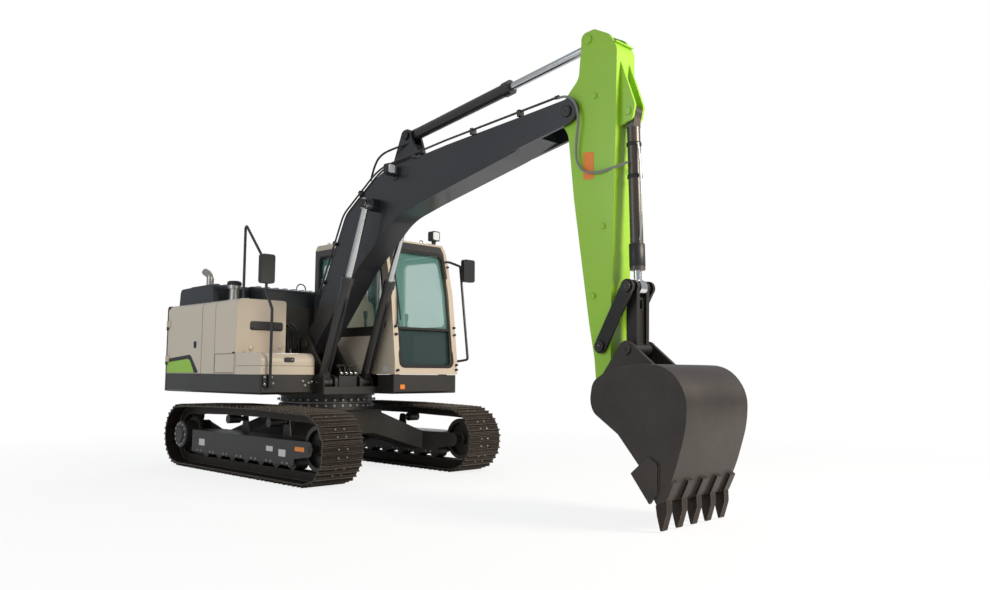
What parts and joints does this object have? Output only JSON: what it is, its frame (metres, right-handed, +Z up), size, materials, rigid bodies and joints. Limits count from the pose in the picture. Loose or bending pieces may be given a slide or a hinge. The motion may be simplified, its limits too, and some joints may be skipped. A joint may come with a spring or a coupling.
{
  "type": "crawler excavator",
  "caption": "Tracked excavator with slewing house, cab, boom, arm and toothed bucket on working pivots, opening doors, hood and lid.",
  "frame": {"origin": "on the ground, in the middle of the machine's length and width", "axes": "+X forward to the bucket, +Y to the machine's left, +Z up"},
  "size_m": [7.7139, 2.722, 4.1986],
  "materials": {
    "track_steel": "bare worn steel",
    "undercarriage_paint": "dark satin paint",
    "body_paint": "warm light grey gloss",
    "tank_paint": "warm light grey gloss",
    "deck_paint": "black-brown satin paint",
    "counterweight_paint": "charcoal paint",
    "boom_paint": "navy-charcoal gloss paint",
    "arm_paint": "lime green gloss paint",
    "bucket_steel": "worn dark paint",
    "tooth_steel": "bare steel",
    "link_steel": "worn dark paint",
    "rod_chrome": "polished",
    "cylinder_paint": "grey satin paint",
    "cab_black": "black satin paint",
    "cab_glazing": "green-tinted glass",
    "seat_cloth": "woven cloth",
    "controls": "matt",
    "engine_metal": "cast",
    "cooler": "finned",
    "pipe_metal": "bright",
    "hood_black": "ribbed black",
    "rail_paint": "black paint",
    "lamp": "clear lens"
  },
  "bodies": {
    "undercarriage": {"car_body": "undercarriage_paint", "slew_ring_inner": "pipe_metal", "track_frame_left": "undercarriage_paint", "track_left": "track_steel", "sprocket_left": "undercarriage_paint", "idler_left": "undercarriage_paint", "rollers_left": "undercarriage_paint", "track_frame_right": "undercarriage_paint", "track_right": "track_steel", "sprocket_right": "undercarriage_paint", "idler_right": "undercarriage_paint", "rollers_right": "undercarriage_paint"},
    "house": {"slew_ring_outer": "deck_paint", "upper_frame": "deck_paint", "counterweight": "counterweight_paint", "body_frame": "body_paint", "hydraulic_tank": "tank_paint", "fuel_tank": "tank_paint", "toolbox": "tank_paint", "pump_cover": "hood_black", "engine_block": "engine_metal", "cooler_pack": "cooler", "slew_motor": "cylinder_paint", "control_valve": "pipe_metal", "exhaust": "pipe_metal", "air_cleaner": "pipe_metal", "handrails": "rail_paint", "mirrors": "cab_black", "cab_shell": "cab_black", "cab_glass": "cab_glazing", "seat": "seat_cloth", "cab_controls": "controls", "roof_lamp": "lamp", "tank_step": "controls", "front_manifold": "pipe_metal"},
    "cab_door": {"cab_door": "cab_black", "cab_door_glass": "cab_glazing"},
    "left_side_door": {"left_side_door": "body_paint"},
    "right_side_door": {"right_side_door": "body_paint"},
    "toolbox_lid": {"toolbox_lid": "tank_paint"},
    "engine_hood": {"engine_hood": "hood_black"},
    "boom": {"boom": "boom_paint", "boom_tubes": "cylinder_paint", "boom_lamp": "lamp"},
    "boom_cylinder_tubes": {"boom_cylinder_tube": "cylinder_paint"},
    "boom_cylinder_rods": {"boom_cylinder_rod": "rod_chrome"},
    "arm_cylinder_tube": {"arm_cylinder_tube": "cylinder_paint"},
    "arm_cylinder_rod": {"arm_cylinder_rod": "rod_chrome"},
    "arm": {"arm": "arm_paint"},
    "idler_links": {"idler_links": "link_steel"},
    "bucket_link": {"bucket_link": "link_steel"},
    "bucket_cylinder_tube": {"bucket_cylinder_tube": "cylinder_paint"},
    "bucket_cylinder_rod": {"bucket_cylinder_rod": "rod_chrome"},
    "bucket": {"bucket": "bucket_steel", "bucket_teeth": "tooth_steel"}
  },
  "joints": [
    {"name": "slew", "type": "hinge", "parent": "undercarriage", "child": "house", "pos_m": [-1.695, -0.1, 0.9], "axis": [0, 0, 1], "continuous": true},
    {"name": "boom_lift", "type": "hinge", "parent": "house", "child": "boom", "pos_m": [-1.645, -0.27, 1.5], "axis": [0, -1, 0], "range_deg": [-55, 30]},
    {"name": "boom_cylinder_swing", "type": "hinge", "parent": "house", "child": "boom_cylinder_tubes", "pos_m": [-1.095, -0.27, 1.05], "axis": [0, -1, 0], "range_deg": [-53.85, 29.6]},
    {"name": "boom_rod_slide", "type": "slide", "parent": "boom_cylinder_tubes", "child": "boom_cylinder_rods", "axis": [0.3674, 0, 0.9301], "range_m": [-0.6114, 0.3344]},
    {"name": "arm_swing", "type": "hinge", "parent": "boom", "child": "arm", "pos_m": [2.495, -0.27, 3.51], "axis": [0, 1, 0], "range_deg": [-85, 12]},
    {"name": "arm_cylinder_swing", "type": "hinge", "parent": "boom", "child": "arm_cylinder_tube", "pos_m": [0.105, -0.27, 3.79], "axis": [0, 1, 0], "range_deg": [-0.68, 3.6]},
    {"name": "arm_rod_slide", "type": "slide", "parent": "arm_cylinder_tube", "child": "arm_cylinder_rod", "axis": [0.9921, 0, 0.1254], "range_m": [-0.8357, 0.1197]},
    {"name": "bucket_curl", "type": "hinge", "parent": "arm", "child": "bucket", "pos_m": [2.865, -0.27, 1.04], "axis": [0, 1, 0], "range_deg": [-5, 120]},
    {"name": "idler_swing", "type": "hinge", "parent": "arm", "child": "idler_links", "pos_m": [2.845, -0.27, 1.4], "axis": [0, 1, 0], "range_deg": [-4.4, 94.1]},
    {"name": "link_swing", "type": "hinge", "parent": "idler_links", "child": "bucket_link", "pos_m": [3.125, -0.27, 1.89], "axis": [0, 1, 0], "range_deg": [-61.22, 3.03]},
    {"name": "bucket_cylinder_swing", "type": "hinge", "parent": "arm", "child": "bucket_cylinder_tube", "pos_m": [3.095, -0.27, 3.4], "axis": [0, 1, 0], "range_deg": [-4.53, 0.38]},
    {"name": "bucket_rod_slide", "type": "slide", "parent": "bucket_cylinder_tube", "child": "bucket_cylinder_rod", "axis": [0.0199, 0, -0.9998], "range_m": [-0.0358, 0.8125]},
    {"name": "cab_door_hinge", "type": "hinge", "parent": "house", "child": "cab_door", "pos_m": [-1.751, 1.131, 1.85], "axis": [0, 0, 1], "range_deg": [0, 165]},
    {"name": "left_side_door_hinge", "type": "hinge", "parent": "house", "child": "left_side_door", "pos_m": [-3.541, 1.134, 1.5], "axis": [0, 0, 1], "range_deg": [0, 110]},
    {"name": "right_side_door_hinge", "type": "hinge", "parent": "house", "child": "right_side_door", "pos_m": [-3.541, -1.354, 1.5], "axis": [0, 0, -1], "range_deg": [0, 110]},
    {"name": "engine_hood_hinge", "type": "hinge", "parent": "house", "child": "engine_hood", "pos_m": [-3.535, 0.08, 2.035], "axis": [0, -1, 0], "range_deg": [0, 60]},
    {"name": "toolbox_lid_hinge", "type": "hinge", "parent": "house", "child": "toolbox_lid", "pos_m": [-1.709, -0.996, 1.399], "axis": [0, -1, 0], "range_deg": [0, 85]}
  ],
  "couplings": [
    {"joint": "boom_cylinder_swing", "follows": "boom_lift", "ratio": 0.97},
    {"joint": "boom_rod_slide", "follows": "boom_lift", "m_per_rad": 0.6348},
    {"joint": "arm_cylinder_swing", "follows": "arm_swing", "ratio": -0.04},
    {"joint": "arm_rod_slide", "follows": "arm_swing", "m_per_rad": 0.562},
    {"joint": "idler_swing", "follows": "bucket_curl", "ratio": 0.78},
    {"joint": "link_swing", "follows": "bucket_curl", "ratio": -0.506},
    {"joint": "bucket_cylinder_swing", "follows": "bucket_curl", "ratio": -0.0361},
    {"joint": "bucket_rod_slide", "follows": "bucket_curl", "m_per_rad": 0.387}
  ]
}
